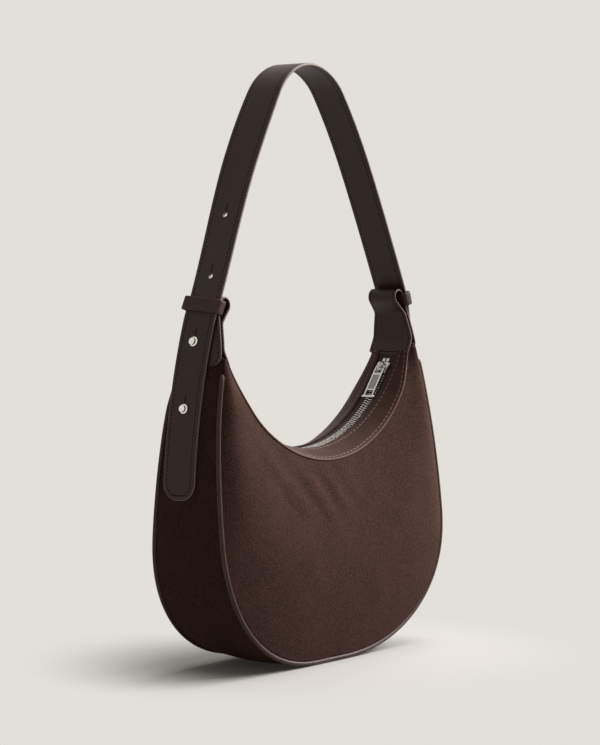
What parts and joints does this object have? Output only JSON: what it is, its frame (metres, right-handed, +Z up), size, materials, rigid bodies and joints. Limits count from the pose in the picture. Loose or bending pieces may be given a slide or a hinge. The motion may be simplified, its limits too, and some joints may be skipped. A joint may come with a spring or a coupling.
{
  "type": "half moon bag",
  "caption": "Crescent shoulder bag with suede panels and gusset, leather strap buttoned on studs through keeper loops, and a curved zip whose slider runs along the mouth with a hinged pull.",
  "frame": {"origin": "on the floor under the middle of the bag", "axes": "+X along the bag's width to the right seen from the front, +Y to the back, +Z up; the front faces -Y"},
  "size_m": [0.3112, 0.078, 0.4954],
  "materials": {
    "suede": "brushed nap, matt, dark brown",
    "leather": "smooth, satin, dark brown with painted edges",
    "lining": "plain woven cotton, brown",
    "zip_tape": "woven tape, dark brown",
    "metal": "polished nickel"
  },
  "bodies": {
    "bag": {"front_panel": "suede", "back_panel": "suede", "gusset": "suede", "strap": "leather", "strap_backing": "leather", "left_tab": "leather", "right_tab": "leather", "left_keeper": "leather", "right_keeper": "leather", "zip_facing_front": "leather", "zip_facing_back": "leather", "front_piping": "leather", "back_piping": "leather", "lining_front": "lining", "lining_back": "lining", "lining_gusset": "lining", "zip_tape_front": "zip_tape", "zip_tape_back": "zip_tape", "zip_teeth_front": "metal", "zip_teeth_back": "metal", "zip_top_stops": "metal", "zip_bottom_stop": "metal", "strap_studs": "metal", "stud_screws": "metal"},
    "slider": {"zip_slider": "metal", "zip_bail": "metal"},
    "pull": {"zip_pull": "metal"}
  },
  "joints": [
    {"name": "zip_slide", "type": "hinge", "parent": "bag", "child": "slider", "pos_m": [0, 0, 0.31534], "axis": [0, 1, 0], "range_deg": [0, 94]},
    {"name": "pull_swing", "type": "hinge", "parent": "slider", "child": "pull", "pos_m": [0.11269, 0, 0.23931], "axis": [0, 1, 0], "range_deg": [0, 150]}
  ]
}
